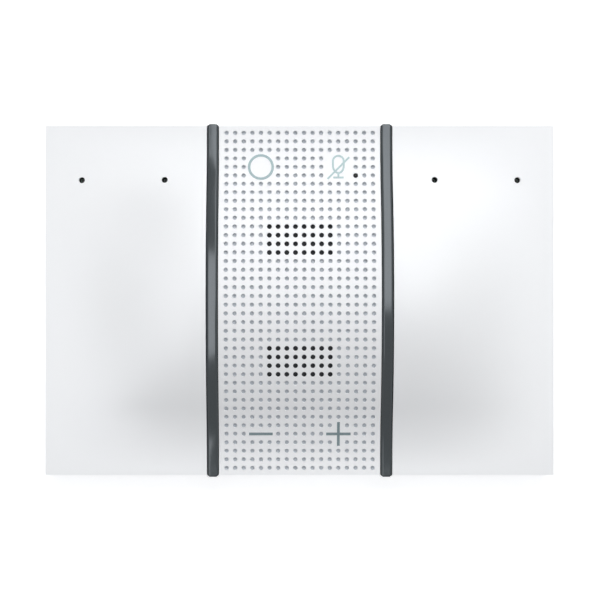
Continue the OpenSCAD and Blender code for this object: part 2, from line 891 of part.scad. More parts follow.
voice_coil(-1);  // front_voice_coil
main_board();
board_shield();
board_screws();
io_board();
usb_c_receptacle();
left_mic_board();
right_mic_board();
left_mic_boots();
right_mic_boots();
mic_capsules();
mic_board_screws();
battery_pack();
battery_pad();
io_ribbon();
left_mic_ribbon();
right_mic_ribbon();
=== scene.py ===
import math

import bmesh
import bpy
from mathutils import Matrix, Vector


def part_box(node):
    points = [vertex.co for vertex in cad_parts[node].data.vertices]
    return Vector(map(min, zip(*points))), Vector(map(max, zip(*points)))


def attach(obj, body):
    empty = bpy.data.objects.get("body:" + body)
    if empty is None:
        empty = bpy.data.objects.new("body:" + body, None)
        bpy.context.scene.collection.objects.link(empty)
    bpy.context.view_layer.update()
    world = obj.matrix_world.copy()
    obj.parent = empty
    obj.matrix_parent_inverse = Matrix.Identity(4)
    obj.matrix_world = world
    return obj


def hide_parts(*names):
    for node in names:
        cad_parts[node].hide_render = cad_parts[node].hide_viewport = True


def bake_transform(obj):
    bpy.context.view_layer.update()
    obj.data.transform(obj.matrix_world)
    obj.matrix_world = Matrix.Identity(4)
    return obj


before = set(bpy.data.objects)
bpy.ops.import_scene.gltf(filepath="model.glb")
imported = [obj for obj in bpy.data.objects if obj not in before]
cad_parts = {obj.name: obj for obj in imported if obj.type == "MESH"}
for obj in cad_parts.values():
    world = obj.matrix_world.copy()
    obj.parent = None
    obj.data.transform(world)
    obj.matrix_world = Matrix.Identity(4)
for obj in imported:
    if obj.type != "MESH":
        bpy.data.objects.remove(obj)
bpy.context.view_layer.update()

mm = 0.001


# ---- The desk, the room and the camera ----
# A pale desk top in a white room. It is only there to stand the speakerphone on, and
# reads as plain white paper with a soft contact shadow.

def colour(hex_text):
    """An sRGB hex value as the linear colour that a shader socket takes."""
    out = []
    for i in (0, 2, 4):
        v = int(hex_text[i:i + 2], 16) / 255
        out.append(v / 12.92 if v <= 0.04045 else ((v + 0.055) / 1.055) ** 2.4)
    return (*out, 1.0)


def add(tree, kind, settings=None, inputs=None):
    """Adds a node, sets its properties, and sets or links its inputs by name or number. A list
    of sockets all goes to one input."""
    node = tree.nodes.new(kind)
    for key, value in (settings or {}).items():
        setattr(node, key, value)
    for key, value in (inputs or {}).items():
        for one in (value if isinstance(value, list) else [value]):
            if isinstance(one, bpy.types.NodeSocket):
                tree.links.new(one, node.inputs[key])
            else:
                node.inputs[key].default_value = one
    return node


def seen_directly(tree):
    """1 for what the camera sees straight, in a reflection or through glass, else 0."""
    path = add(tree, "ShaderNodeLightPath")
    either = add(tree, "ShaderNodeMath", {"operation": "MAXIMUM"},
                 {0: path.outputs["Is Camera Ray"], 1: path.outputs["Is Glossy Ray"]})
    return add(tree, "ShaderNodeMath", {"operation": "MAXIMUM"},
               {0: either.outputs[0], 1: path.outputs["Is Transmission Ray"]}).outputs[0]


room = bpy.data.worlds.new("white_room")
bpy.context.scene.world = room
room.use_nodes = True
tree = room.node_tree
tree.nodes.clear()
lighting = add(tree, "ShaderNodeBackground", None, {"Color": colour("FBFCFF"), "Strength": 0.49})
white = add(tree, "ShaderNodeBackground", None, {"Color": (1, 1, 1, 1), "Strength": 1.0})
seen = add(tree, "ShaderNodeMixShader", None,
           {0: seen_directly(tree), 1: lighting.outputs[0], 2: white.outputs[0]})
add(tree, "ShaderNodeOutputWorld", None, {"Surface": seen.outputs[0]})

desk_glow = 0.585                        # lifts the lit laminate to paper white
desk_paint = bpy.data.materials.new("desk_white_laminate")
desk_paint.use_nodes = True
tree = desk_paint.node_tree
tree.nodes.clear()
matt = add(tree, "ShaderNodeBsdfDiffuse", None, {"Color": colour("F4F5F6")})
lift = add(tree, "ShaderNodeMath", {"operation": "MULTIPLY"},
           {0: seen_directly(tree), 1: desk_glow})
glow = add(tree, "ShaderNodeEmission", None,
           {"Color": (1, 1, 1, 1), "Strength": lift.outputs[0]})
both = add(tree, "ShaderNodeAddShader", None, {0: matt.outputs[0], 1: glow.outputs[0]})
add(tree, "ShaderNodeOutputMaterial", None, {"Surface": both.outputs[0]})


def new_object(name, data):
    ob = bpy.data.objects.new(name, data)
    bpy.context.scene.collection.objects.link(ob)
    return ob


def new_piece(name, shape, material=None):
    """An object made of a finished bmesh shape."""
    mesh = bpy.data.meshes.new(name)
    shape.to_mesh(mesh)
    shape.free()
    if material:
        mesh.materials.append(material)
    return new_object(name, mesh)


desk_reach = 6                           # metres each way, past what any view takes in
desk_top = bmesh.new()
bmesh.ops.create_grid(desk_top, x_segments=8, y_segments=8, size=desk_reach)
new_piece("desk", desk_top, desk_paint)


def softbox(name, tilt, distance, size, power, shows_in, tint):
    """A softbox over the desk, tilted from straight overhead towards +X and +Y, in degrees. It
    lights matt surfaces, or is a card that shows in gloss."""
    lamp = bpy.data.lights.new(name, "AREA")
    lamp.shape = "RECTANGLE"
    lamp.size, lamp.size_y = size
    lamp.energy = power
    lamp.color = colour(tint)[:3]
    ob = new_object(name, lamp)
    away = Vector([math.tan(math.radians(a)) for a in tilt] + [1]).normalized()
    ob.location = away * distance
    across = Vector((0, 1, 0)).cross(away).normalized()
    ob.rotation_euler = Matrix((across, away.cross(across), away)).transposed().to_euler()
    ob.visible_camera = False
    ob.visible_diffuse = shows_in == "matt"
    ob.visible_glossy = shows_in == "gloss"


softbox("window_light", (7, 40), distance=2.4, size=(1.5, 1.5), power=26, shows_in="matt",
        tint="FFFFFF")
softbox("right_card", (22, 29), distance=2.0, size=(2.1, 2.4), power=72, shows_in="gloss",
        tint="FAFCFF")
softbox("left_card", (-27, -2), distance=2.0, size=(1.3, 1.7), power=32, shows_in="gloss",
        tint="FAFCFF")

edge_top = 12 * mm                       # height of the covers' flat edges
view_width = 209.5 * mm                  # what the camera takes in at that height
camera_up = 714 * mm
film_width = 36
camera = bpy.data.cameras.new("overhead_camera")
camera.sensor_width = film_width
camera.lens = film_width * camera_up / view_width
camera.clip_start = 0.01
camera.shift_x, camera.shift_y = 0.0317, 0.0008
overhead = new_object("overhead_camera", camera)
overhead.location = (-6.5 * mm, 0.0, edge_top + camera_up)
bpy.context.scene.camera = overhead
bpy.context.scene.view_settings.view_transform = "Standard"


# ---- Wing covers ----
# Two injection-moulded ABS covers, satin white, one each side of the centre panel. Each is
# flat round its outer edge and rises to the swell at the trim rail, with two microphone holes.

body_depth = 122 * mm
half_depth = body_depth / 2
panel_width = 56.5 * mm
wing_width = 56.5 * mm
rail_width = 4 * mm
wing_start = panel_width / 2 + rail_width
side_x = wing_start + wing_width
swell_rise = 12 * mm
crown_radius = 95 * mm
apron = 2.4 * mm
swell_end = half_depth - apron
foot_radius = (swell_end ** 2 + swell_rise ** 2) / (2 * swell_rise) - crown_radius
swell_join = swell_end * crown_radius / (crown_radius + foot_radius)
cover_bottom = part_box("left_wing_cover")[0].z
cover_gap = 0.15 * mm


def swell(y):
    """Rise of the swell above the flat edge: a crown arc that runs into two concave arcs."""
    y = abs(y)
    if y <= swell_join:
        return swell_rise - crown_radius + math.sqrt(crown_radius ** 2 - y * y)
    if y < swell_end:
        return foot_radius - math.sqrt(foot_radius ** 2 - (swell_end - y) ** 2)
    return 0.0


def new_material(name):
    """A material, its empty tree, and the piece's own coordinates in it."""
    material = bpy.data.materials.new(name)
    material.use_nodes = True
    tree = material.node_tree
    tree.nodes.clear()
    return material, tree, add(tree, "ShaderNodeTexCoord").outputs["Object"]


def finish_material(material, surface):
    """Ends a material in one shader with the given inputs, and returns it."""
    tree = material.node_tree
    shader = add(tree, "ShaderNodeBsdfPrincipled", None, surface)
    add(tree, "ShaderNodeOutputMaterial", None, {"Surface": shader.outputs[0]})
    return material


def moulded_white(name, peel_bump):
    """ABS moulded in a polished tool: clean white with a soft gloss, the faint orange peel of
    the tool, and a trace of uneven sheen where the melt has flowed."""
    material, tree, where = new_material(name)
    flow = add(tree, "ShaderNodeTexNoise", None,                      # 25 mm melt flow
               {"Vector": where, "Scale": 1 / (25 * mm), "Detail": 2.0, "Roughness": 0.4})
    peel = add(tree, "ShaderNodeTexNoise", None,                      # 1.2 mm orange peel
               {"Vector": where, "Scale": 1 / (1.2 * mm), "Detail": 1.0})
    tone = add(tree, "ShaderNodeMix", {"data_type": "RGBA"},
               {0: flow.outputs["Fac"], 6: colour("F0F1F2"), 7: colour("F3F4F4")})
    gloss = add(tree, "ShaderNodeMapRange", None,
                {"Value": flow.outputs["Fac"], "To Min": 0.375, "To Max": 0.425})
    bump = add(tree, "ShaderNodeBump", None,
               {"Height": peel.outputs["Fac"], "Strength": peel_bump, "Distance": 0.01 * mm})
    return finish_material(material, {
        "Base Color": tone.outputs[2], "Roughness": gloss.outputs[0], "IOR": 1.52,
        "Normal": bump.outputs[0]})


white_abs = moulded_white("white_abs_moulding", 0.12)


def wing_block(inner, outer, half_y, bottom, drop, cells_x, cells_y):
    """A closed block whose top follows the wing's rule, less drop: the swell, faded out by a
    cosine from the rail to the outer edge."""
    block = bmesh.new()
    top, floor = [], []
    for i in range(cells_x + 1):
        x = inner + (outer - inner) * i / cells_x
        fade = (1 + math.cos(math.pi * min(max((x - wing_start) / wing_width, 0), 1))) / 2
        ys = [half_y * (2 * j / cells_y - 1) for j in range(cells_y + 1)]
        top.append([block.verts.new((x, y, edge_top + swell(y) * fade - drop)) for y in ys])
        floor.append([block.verts.new((x, y, bottom)) for y in ys])
    for i in range(cells_x):
        for j in range(cells_y):
            for row, after in ((top[i], top[i + 1]), (floor[i], floor[i + 1])):
                block.faces.new((row[j], after[j], after[j + 1], row[j + 1]))
    for i in range(cells_x):
        for j in (0, cells_y):
            block.faces.new((top[i][j], top[i + 1][j], floor[i + 1][j], floor[i][j]))
    for j in range(cells_y):
        for i in (0, cells_x):
            block.faces.new((top[i][j], top[i][j + 1], floor[i][j + 1], floor[i][j]))
    bmesh.ops.recalc_face_normals(block, faces=block.faces)
    return block


def smooth(ob, angle):
    ob.data.shade_smooth()
    ob.data.set_sharp_from_angle(angle=math.radians(angle))


def apply_modifiers(ob):
    bpy.context.view_layer.update()
    seen = ob.evaluated_get(bpy.context.evaluated_depsgraph_get())
    mesh = bpy.data.meshes.new_from_object(seen)
    old = ob.data
    ob.modifiers.clear()
    ob.data = mesh
    bpy.data.meshes.remove(old)


def cut_away(ob, cutters):
    """Cuts the cutters out of a piece, and then removes them."""
    for cutter in cutters:
        cut = ob.modifiers.new("cut", "BOOLEAN")
        cut.operation = "DIFFERENCE"
        cut.solver = "EXACT"
        cut.object = cutter
    apply_modifiers(ob)
    for cutter in cutters:
        bpy.data.objects.remove(cutter)


def soften(ob, width, segments, angle):
    """Rounds a moulding's sharp edges and smooths its faces between them."""
    smooth(ob, angle)
    bevel = ob.modifiers.new("edge_rounding", "BEVEL")
    bevel.width = width
    bevel.segments = segments
    bevel.limit_method = "ANGLE"
    bevel.angle_limit = math.radians(angle)
    bevel.harden_normals = True
    apply_modifiers(ob)


def stand_for(ob, node, body="chassis"):
    """Puts a piece in its CAD node's place and the body that it rides on."""
    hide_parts(node)
    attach(ob, body)


microphone_row = half_depth - 19 * mm
microphone_holes = (wing_start + 14.75 * mm, side_x - 12.75 * mm)
microphone_hole_radius = 1.05 * mm
wing_wall = 2 * mm
past = 1 * mm                            # how far a cutter runs past what it cuts
for side_name in ("right", "left"):
    shell = new_piece(side_name + "_wing_shell", wing_block(
        wing_start + cover_gap, side_x, half_depth, cover_bottom, drop=0.0, cells_x=40,
        cells_y=88))
    cutters = [new_piece("hollow", wing_block(
        wing_start - past, side_x - wing_wall, half_depth - wing_wall, cover_bottom - past,
        drop=wing_wall, cells_x=24, cells_y=44))]
    for hole_x in microphone_holes:
        drill = bmesh.new()
        bmesh.ops.create_cone(
            drill, cap_ends=True, segments=28, radius1=microphone_hole_radius,
            radius2=microphone_hole_radius, depth=30 * mm,
            matrix=Matrix.Translation((hole_x, microphone_row, edge_top + wing_wall)))
        cutters.append(new_piece("drill", drill))
    cut_away(shell, cutters)
    if side_name == "left":
        for v in shell.data.vertices:
            v.co.x = -v.co.x
        shell.data.flip_normals()
    shell.data.materials.clear()
    shell.data.materials.append(white_abs)
    soften(shell, 0.35 * mm, segments=3, angle=40)
    stand_for(shell, side_name + "_wing_cover")


# ---- Centre grille ----
# One moulding in the same white ABS. Eighteen columns of small round dimples cover it, and
# over each loudspeaker a block of them is drilled right through.

pitch = 3 * mm
columns, rows = 18, 40
grille_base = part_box("centre_grille")[0].z
panel_half = panel_width / 2 - cover_gap
speaker_row = 21 * mm
icon_x, icon_y = 13.5 * mm, 46.5 * mm
lens_x, lens_y = 19.5 * mm, 43.5 * mm
icon_room, line_room = 4 * mm, 1 * mm    # plain panel beside an icon, and beside one line of it
block_x, block_y = 12 * mm, 6 * mm       # half of the drilled block over a loudspeaker


def hole_kind(x, y):
    """0 where an icon sits and the panel is plain, 1 for a dimple, 2 for a hole right through."""
    along, behind, before = abs(abs(x) - icon_x), abs(y - icon_y), abs(y + icon_y)
    if along < icon_room and (behind < icon_room or before < line_room):
        return 0
    if x > 0 and along < line_room and before < icon_room:
        return 0
    if abs(x) < block_x and abs(abs(y) - speaker_row) < block_y:
        return 2
    if abs(x - lens_x) < line_room and abs(y - lens_y) < line_room:
        return 2
    return 1


grid = bpy.data.meshes.new("hole_grid")
spots = [((c - (columns - 1) / 2) * pitch, (r - (rows - 1) / 2) * pitch, 0.0)
         for r in range(rows) for c in range(columns)]
grid.from_pydata(spots, [], [])
kinds = grid.attributes.new("hole_kind", "INT", "POINT")
kinds.data.foreach_set("value", [hole_kind(x, y) for x, y, _ in spots])


def run_tree(name, start_mesh, group, sizes):
    """Runs a geometry tree on a mesh with the given named sizes, and keeps the plain result."""
    ob = new_object(name, start_mesh)
    modifier = ob.modifiers.new(name, "NODES")
    modifier.node_group = group
    sockets = {i.name: i.identifier for i in group.interface.items_tree if i.in_out == "INPUT"}
    for key, value in sizes.items():
        modifier[sockets[key]] = value
    ob.update_tag()
    apply_modifiers(ob)
    return ob


# Each place on the grid takes a square tile: plain, dimpled or drilled, with its underside.
panel_tree = bpy.data.node_groups.new("perforated_panel", "GeometryNodeTree")
panel_tree.is_modifier = True
# the panel's second material is painted shade for the floors of the blind dimples
for way, kind, names in (
        ("INPUT", "Geometry", ["Geometry"]), ("OUTPUT", "Geometry", ["Geometry"]),
        ("INPUT", "Float", ["Half Pitch", "Dimple Radius", "Open Hole Radius", "Rim Width",
                            "Rim Level", "Dimple Floor Level", "Underside Level"]),
        ("INPUT", "Material", ["Plastic", "Painted Shade"])):
    for name in names:
        panel_tree.interface.new_socket(name, in_out=way, socket_type="NodeSocket" + kind)
given = add(panel_tree, "NodeGroupInput").outputs
hole_corners = 16


def square_off(tree, mesh, selection, level):
    """Moves the chosen points out to the tile's square edge, at a level."""
    here = add(tree, "GeometryNodeInputPosition").outputs[0]
    size = add(tree, "ShaderNodeVectorMath", {"operation": "ABSOLUTE"}, {0: here})
    axes = add(tree, "ShaderNodeSeparateXYZ", None, {0: size.outputs[0]})
    reach = add(tree, "ShaderNodeMath", {"operation": "MAXIMUM"},
                {0: axes.outputs[0], 1: axes.outputs[1]})
    grow = add(tree, "ShaderNodeMath", {"operation": "DIVIDE"},
               {0: given["Half Pitch"], 1: reach.outputs[0]})
    spot = add(tree, "ShaderNodeVectorMath", {"operation": "SCALE"},
               {0: here, "Scale": grow.outputs[0]})
    axes = add(tree, "ShaderNodeSeparateXYZ", None, {0: spot.outputs[0]})
    place = add(tree, "ShaderNodeCombineXYZ", None,
                {0: axes.outputs[0], 1: axes.outputs[1], 2: level})
    moved = add(tree, "GeometryNodeSetPosition", None,
                {"Geometry": mesh, "Selection": selection, "Position": place.outputs[0]})
    return moved.outputs[0]


def ring(tree, radius, level, fill="NONE"):
    circle = add(tree, "GeometryNodeMeshCircle", {"fill_type": fill},
                 {"Vertices": hole_corners, "Radius": radius})
    lift = add(tree, "ShaderNodeCombineXYZ", None, {2: level})
    return add(tree, "GeometryNodeTransform", None,
               {"Geometry": circle.outputs[0], "Translation": lift.outputs[0]}).outputs[0]


def widen(tree, mesh, selection, radius, level):
    """Extrudes the chosen edge ring to a new radius and level."""
    grown = add(tree, "GeometryNodeExtrudeMesh", {"mode": "EDGES"},
                {"Mesh": mesh, "Selection": selection, "Offset Scale": 0.0})
    flat = add(tree, "ShaderNodeVectorMath", {"operation": "MULTIPLY"},
               {0: add(tree, "GeometryNodeInputPosition").outputs[0], 1: (1.0, 1.0, 0.0)})
    out = add(tree, "ShaderNodeVectorMath", {"operation": "NORMALIZE"}, {0: flat.outputs[0]})
    spot = add(tree, "ShaderNodeVectorMath", {"operation": "SCALE"},
               {0: out.outputs[0], "Scale": radius})
    up = add(tree, "ShaderNodeCombineXYZ", None, {2: level})
    place = add(tree, "ShaderNodeVectorMath", {"operation": "ADD"},
                {0: spot.outputs[0], 1: up.outputs[0]})
    moved = add(tree, "GeometryNodeSetPosition", None,
                {"Geometry": grown.outputs["Mesh"], "Selection": grown.outputs["Top"],
                 "Position": place.outputs[0]})
    return moved.outputs[0], grown.outputs["Top"]


def bored_tile(tree, radius, depth_level):
    """Wall, chamfered rim and the square of panel round one hole."""
    mouth = add(tree, "ShaderNodeMath", {"operation": "ADD"}, {0: radius, 1: given["Rim Width"]})
    walls, top = widen(tree, ring(tree, radius, depth_level), True, radius, given["Rim Level"])
    chamfer, top = widen(tree, walls, top, mouth.outputs[0], 0.0)
    grown = add(tree, "GeometryNodeExtrudeMesh", {"mode": "EDGES"},
                {"Mesh": chamfer, "Selection": top, "Offset Scale": 0.0})
    return square_off(tree, grown.outputs["Mesh"], grown.outputs["Top"], 0.0)


dimple, opening, under = given["Dimple Radius"], given["Open Hole Radius"], given["Underside Level"]
plain_under = square_off(panel_tree, ring(panel_tree, dimple, 0.0, "NGON"), True, under)
under_ring = add(panel_tree, "GeometryNodeExtrudeMesh", {"mode": "EDGES"},
                 {"Mesh": ring(panel_tree, opening, under), "Offset Scale": 0.0})
tiles = [
    [square_off(panel_tree, ring(panel_tree, dimple, 0.0, "NGON"), True, 0.0), plain_under],
    [bored_tile(panel_tree, dimple, given["Dimple Floor Level"]), plain_under,
     ring(panel_tree, dimple, given["Dimple Floor Level"], "NGON")],
    [bored_tile(panel_tree, opening, under),
     square_off(panel_tree, under_ring.outputs["Mesh"], under_ring.outputs["Top"], under)],
]
kind = add(panel_tree, "GeometryNodeInputNamedAttribute", {"data_type": "INT"},
           {"Name": "hole_kind"})
laid = []
for k, tile in enumerate(tiles):
    whole = add(panel_tree, "GeometryNodeJoinGeometry", None, {0: tile}).outputs[0]
    chosen = add(panel_tree, "FunctionNodeCompare", {"data_type": "INT", "operation": "EQUAL"},
                 {2: kind.outputs["Attribute"], 3: k})
    laid.append(add(panel_tree, "GeometryNodeInstanceOnPoints", None,
                    {"Points": given["Geometry"], "Selection": chosen.outputs[0],
                     "Instance": whole}).outputs[0])
all_tiles = add(panel_tree, "GeometryNodeRealizeInstances", None,
                {0: add(panel_tree, "GeometryNodeJoinGeometry", None, {0: laid}).outputs[0]})
moulded = add(panel_tree, "GeometryNodeSetMaterial", None,
              {"Geometry": all_tiles.outputs[0], "Material": given["Plastic"]})
height = add(panel_tree, "ShaderNodeSeparateXYZ", None,
             {0: add(panel_tree, "GeometryNodeInputPosition").outputs[0]})
# the dimple floors take a pale grey: painted shade that stands for the shade down in the dimples
is_floor = add(panel_tree, "FunctionNodeCompare", {"data_type": "FLOAT", "operation": "EQUAL"},
               {0: height.outputs[2], 1: given["Dimple Floor Level"], "Epsilon": 0.01 * mm})
floors_shade_painted = add(panel_tree, "GeometryNodeSetMaterial", None,
            {"Geometry": moulded.outputs[0], "Selection": is_floor.outputs[0],
             "Material": given["Painted Shade"]})
add(panel_tree, "NodeGroupOutput", None, {0: floors_shade_painted.outputs[0]})


def dimple_floor_shade():
    """Painted shade for the floors of the blind dimples: a matt pale grey that stands in for the
    shade down in them, with a faint 0.3 mm mottle."""
    material, tree, where = new_material("painted_shade_dimple_floor")
    floor_mottle = add(tree, "ShaderNodeTexNoise", None,
                {"Vector": where, "Scale": 1 / (0.3 * mm), "Detail": 3.0})
    tone = add(tree, "ShaderNodeMix", {"data_type": "RGBA"},
               {0: floor_mottle.outputs["Fac"], 6: colour("C9CED4"), 7: colour("CFD4DA")})
    return finish_material(material, {
        "Base Color": tone.outputs[2], "Roughness": 0.9, "IOR": 1.4})


# the second material paints shade on the dimple floors
grille = run_tree("centre_grille_panel", grid, panel_tree, {
    "Half Pitch": pitch / 2, "Dimple Radius": 0.72 * mm, "Open Hole Radius": 0.84 * mm,
    "Rim Width": 0.12 * mm, "Rim Level": -0.12 * mm, "Dimple Floor Level": -1.1 * mm,
    "Underside Level": -1.6 * mm, "Plastic": moulded_white("white_abs_grille", 0.08),
    "Painted Shade": dimple_floor_shade()})

# The tiles are closed into one moulding: the plain margin, then the front and back walls.
bm = bmesh.new()
bm.from_mesh(grille.data)
weld = 0.004 * mm
bmesh.ops.remove_doubles(bm, verts=bm.verts, dist=weld)
field_x, field_y = columns * pitch / 2, rows * pitch / 2
below = -50 * mm                         # marks a point that ends on the base
near = 0.01 * mm


def border(test):
    return [e for e in bm.edges if e.is_boundary and all(test(v.co) for v in e.verts)]


def draw_out(edges, move):
    made = bmesh.ops.extrude_edge_only(bm, edges=edges)["geom"]
    for v in [g for g in made if isinstance(g, bmesh.types.BMVert)]:
        move(v.co)


def set_axis(axis, value):
    def move(co):
        co[axis] = math.copysign(value, co[axis]) if axis < 2 else value
    return move


def at_ends(co):
    return abs(abs(co.y) - field_y) < near


def is_under(co):
    return co.z < -1 * mm


draw_out(border(lambda co: abs(abs(co.x) - field_x) < near), set_axis(0, panel_half))
draw_out(border(lambda co: at_ends(co) and not is_under(co)), set_axis(1, half_depth))
draw_out(border(lambda co: abs(abs(co.y) - half_depth) < near), set_axis(2, below))
draw_out(border(lambda co: at_ends(co) and is_under(co)), set_axis(2, below))
draw_out(border(lambda co: at_ends(co) and co.z < below / 2), set_axis(1, half_depth))
bmesh.ops.remove_doubles(bm, verts=bm.verts, dist=weld)
bmesh.ops.holes_fill(bm, edges=[e for e in bm.edges if e.is_boundary], sides=0)
bmesh.ops.recalc_face_normals(bm, faces=bm.faces)
for v in bm.verts:
    v.co.z = grille_base if v.co.z < below / 2 else edge_top + swell(v.co.y) + v.co.z
bm.to_mesh(grille.data)
bm.free()


def skin(shape, loops):
    """Joins each loop of points to the next with a band of faces."""
    for a, b in zip(loops, loops[1:]):
        for i in range(len(a)):
            j = (i + 1) % len(a)
            shape.faces.new((a[i], a[j], b[j], b[i]))


# the connector's opening through the back wall: a racetrack with a little play all round
low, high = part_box("usb_c_receptacle")
port_z = (low.z + high.z) / 2
socket_width, socket_height, port_play = 8.94, 3.2, 0.25      # in mm
port_half, port_radius = (socket_width / 2 + port_play) * mm, (socket_height / 2 + port_play) * mm
port = bmesh.new()
loops = []
for y in (half_depth - 3 * mm, half_depth + past):
    loop = []
    for k in range(24):
        a = 2 * math.pi * (k + 0.5) / 24
        shift = math.copysign(port_half - port_radius, math.cos(a))
        loop.append(port.verts.new((shift + port_radius * math.cos(a), y,
                                    port_z + port_radius * math.sin(a))))
    loops.append(loop)
    port.faces.new(loop)
skin(port, loops)
bmesh.ops.recalc_face_normals(port, faces=port.faces)
cut_away(grille, [new_piece("port", port)])
smooth(grille, 30)
stand_for(grille, "centre_grille")


# ---- Trim rails ----
# Two bars in dark gunmetal gloss lacquer that follow the swell and wrap down the front and
# back. Their long edges are bevelled, and their ends stand a hair proud of the covers.

def gunmetal_lacquer():
    """Gunmetal lacquer over a moulded bar: dark, mirror-like with a slight orange peel, and a
    fine metal flake of about 0.15 mm, drawn at 0.3 mm so that it shows."""
    material, tree, where = new_material("gunmetal_lacquer")
    flake = add(tree, "ShaderNodeTexVoronoi", None, {"Vector": where, "Scale": 1 / (0.3 * mm)})
    tone = add(tree, "ShaderNodeMix", {"data_type": "RGBA"},
               {0: flake.outputs["Distance"], 6: colour("33393C"), 7: colour("2C3234")})
    peel = add(tree, "ShaderNodeTexNoise", None,
               {"Vector": where, "Scale": 1 / (1.5 * mm), "Detail": 1.0})
    bump = add(tree, "ShaderNodeBump", None,
               {"Height": peel.outputs["Fac"], "Strength": 0.05, "Distance": 0.01 * mm})
    return finish_material(material, {
        "Base Color": tone.outputs[2], "Roughness": 0.16, "IOR": 1.5,
        "Normal": bump.outputs[0], "Specular Tint": colour("F6FBFF")})


rail_lacquer = gunmetal_lacquer()
rail_proud = 0.6 * mm
rail_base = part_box("left_trim_rail")[0].z
rail_steps = 120
rail_bevel = 0.8 * mm
rail_lean = 0.3 * mm
corner = 0.5 * mm
under_top, behind_end = 5.6 * mm, 5 * mm  # the bar's thickness over the swell and at its ends


def rail_path():
    """The rail's outer line in Y and Z, from the front foot over the swell to the back foot,
    each point with the direction that points inwards."""
    end_y, top = half_depth + rail_proud, edge_top + rail_proud
    bends = [math.radians(22.5 * k) for k in range(5)]
    front = [(-end_y, rail_base, 1.0, 0.0)]
    front += [(-end_y + corner * (1 - math.cos(a)), top - corner * (1 - math.sin(a)),
               math.cos(a), -math.sin(a)) for a in bends]
    over = []
    for k in range(1, rail_steps):
        y = -(end_y - corner) + 2 * (end_y - corner) * k / rail_steps
        step = 0.05 * mm
        slope = (swell(y + step) - swell(y - step)) / (2 * step)
        size = math.hypot(1, slope)
        over.append((y, top + swell(y), slope / size, -1 / size))
    back = [(-y, z, -in_y, in_z) for y, z, in_y, in_z in reversed(front)]
    return front + over + back


def rail_section(rise):
    """Offset across the bar and depth below its outer line, from the panel's side to the wing's.
    The top leans outwards over the swell and lies level at the flat ends."""
    lean = rail_lean * min(1, rise / (2 * mm))
    half, nick, soft = rail_width / 2, rail_bevel * 0.75, 0.12 * mm
    return [(-half, nick + soft), (-half + 0.05 * mm, nick - 0.02 * mm),
            (-half + rail_bevel - soft, 0.08 * mm), (-half + rail_bevel + soft, 0.0),
            (half - rail_bevel - soft, lean), (half - rail_bevel + soft, lean + 0.08 * mm),
            (half - 0.05 * mm, lean + nick - 0.02 * mm), (half, lean + nick + soft)]


for side, side_name in ((1, "right"), (-1, "left")):
    bar = bmesh.new()
    middle = side * (panel_width / 2 + rail_width / 2)
    loops = []
    for y, z, in_y, in_z in rail_path():
        inner_y = y * (half_depth - behind_end) / (half_depth + rail_proud)
        inner_z = z if z <= rail_base else max(rail_base, z - under_top)
        places = [(across, y + in_y * depth, z + in_z * depth)
                  for across, depth in rail_section(swell(y))]
        places += [(across, inner_y, inner_z) for across in (rail_width / 2, -rail_width / 2)]
        loops.append([bar.verts.new((middle + side * across, *at)) for across, *at in places])
    skin(bar, loops)
    bar.faces.new(loops[0])
    bar.faces.new(loops[-1])
    bmesh.ops.recalc_face_normals(bar, faces=bar.faces)
    rail = new_piece(side_name + "_rail_bar", bar, rail_lacquer)
    smooth(rail, 30)
    weighted = rail.modifiers.new("flat_top_leads_its_edges", "WEIGHTED_NORMAL")
    weighted.keep_sharp = True
    weighted.weight = 100
    apply_modifiers(rail)
    stand_for(rail, side_name + "_trim_rail")


# ---- Touch icons ----
# Four tinted polycarbonate inlays set flush in the grille: a ring to take a call, a crossed
# microphone to mute, and minus and plus.

def inlay_plastic(name, tones):
    """Tinted polycarbonate, moulded and lightly matted: an even tone with a soft sheen and a
    faint 0.5 mm cloudiness."""
    material, tree, where = new_material(name)
    cloud = add(tree, "ShaderNodeTexNoise", None,
                {"Vector": where, "Scale": 1 / (0.5 * mm), "Detail": 1.0})
    tone = add(tree, "ShaderNodeMix", {"data_type": "RGBA"},
               {0: cloud.outputs["Fac"], 6: colour(tones[0]), 7: colour(tones[1])})
    return finish_material(material, {
        "Base Color": tone.outputs[2], "Roughness": 0.38, "IOR": 1.58})


icon_lift = 0.06 * mm                    # above the panel, so that the inlay shows whole
icon_depth = 0.5 * mm


def stroke(bm, points, closed, width):
    """A line of even width, lying on the swell."""
    n = len(points)
    rings = []
    for i, (x, y) in enumerate(points):
        ax, ay = points[(i - 1) % n] if closed or i else points[i]
        bx, by = points[(i + 1) % n] if closed or i < n - 1 else points[i]
        dx, dy = bx - ax, by - ay
        size = math.hypot(dx, dy)
        sx, sy = -dy / size * width / 2, dx / size * width / 2
        rings.append([bm.verts.new((x + side * sx, y + side * sy,
                                    edge_top + swell(y + side * sy) + icon_lift - depth))
                      for side, depth in ((1, 0), (-1, 0), (-1, icon_depth), (1, icon_depth))])
    skin(bm, rings + rings[:1] if closed else rings)
    if not closed:
        bm.faces.new(rings[0])
        bm.faces.new(rings[-1])


def straight(a, b, steps=8):
    return [(a[0] + (b[0] - a[0]) * k / steps, a[1] + (b[1] - a[1]) * k / steps)
            for k in range(steps + 1)]


def whole_circle(cx, cy, r, steps):
    turns = [2 * math.pi * k / steps for k in range(steps)]
    return [(cx + r * math.cos(a), cy + r * math.sin(a)) for a in turns]


